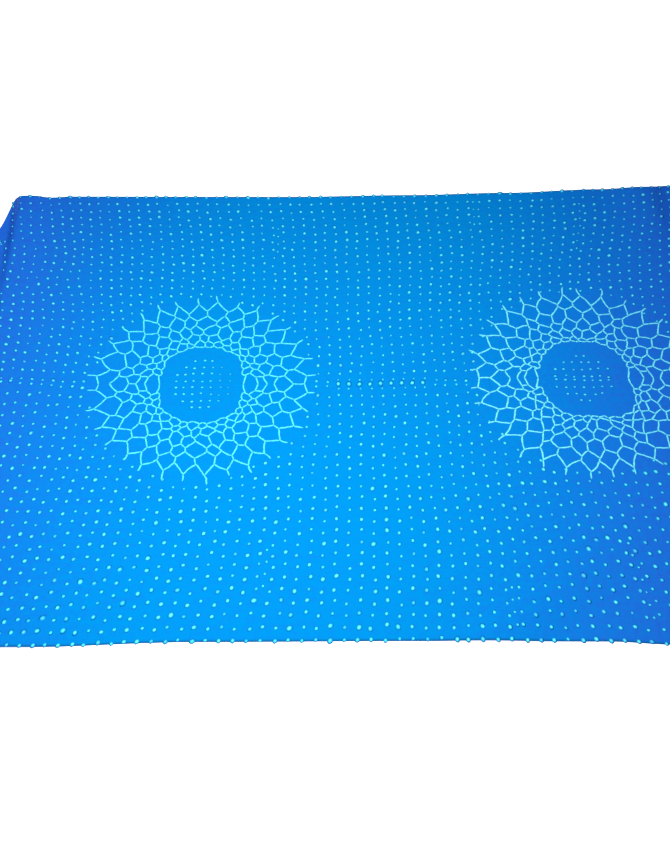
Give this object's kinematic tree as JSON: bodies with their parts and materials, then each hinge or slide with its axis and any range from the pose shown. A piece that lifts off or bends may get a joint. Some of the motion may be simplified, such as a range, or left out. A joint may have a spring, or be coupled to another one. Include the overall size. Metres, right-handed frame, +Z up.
{
  "type": "bandhani saree",
  "caption": "Tie-dyed saree laid flat: its middle is spread out to show round nets among rows of dots, and its ends lie in plies.",
  "frame": {"origin": "on the surface that the cloth lies on, under the middle of the whole lay", "axes": "+X along the length of the cloth, +Y across it to the far selvedge, +Z up"},
  "size_m": [2.37, 1.2653, 0.0202],
  "materials": {
    "dyed_cloth": "light woven silk mix, soft low sheen, azure with pale aqua tied dots",
    "hem_cloth": "the same cloth turned twice and stitched"
  },
  "bodies": {
    "root": {"spread_stretch": "dyed_cloth", "left_folded_end": "dyed_cloth", "right_folded_end": "dyed_cloth", "left_end_hem": "hem_cloth", "right_end_hem": "hem_cloth"}
  },
  "joints": []
}
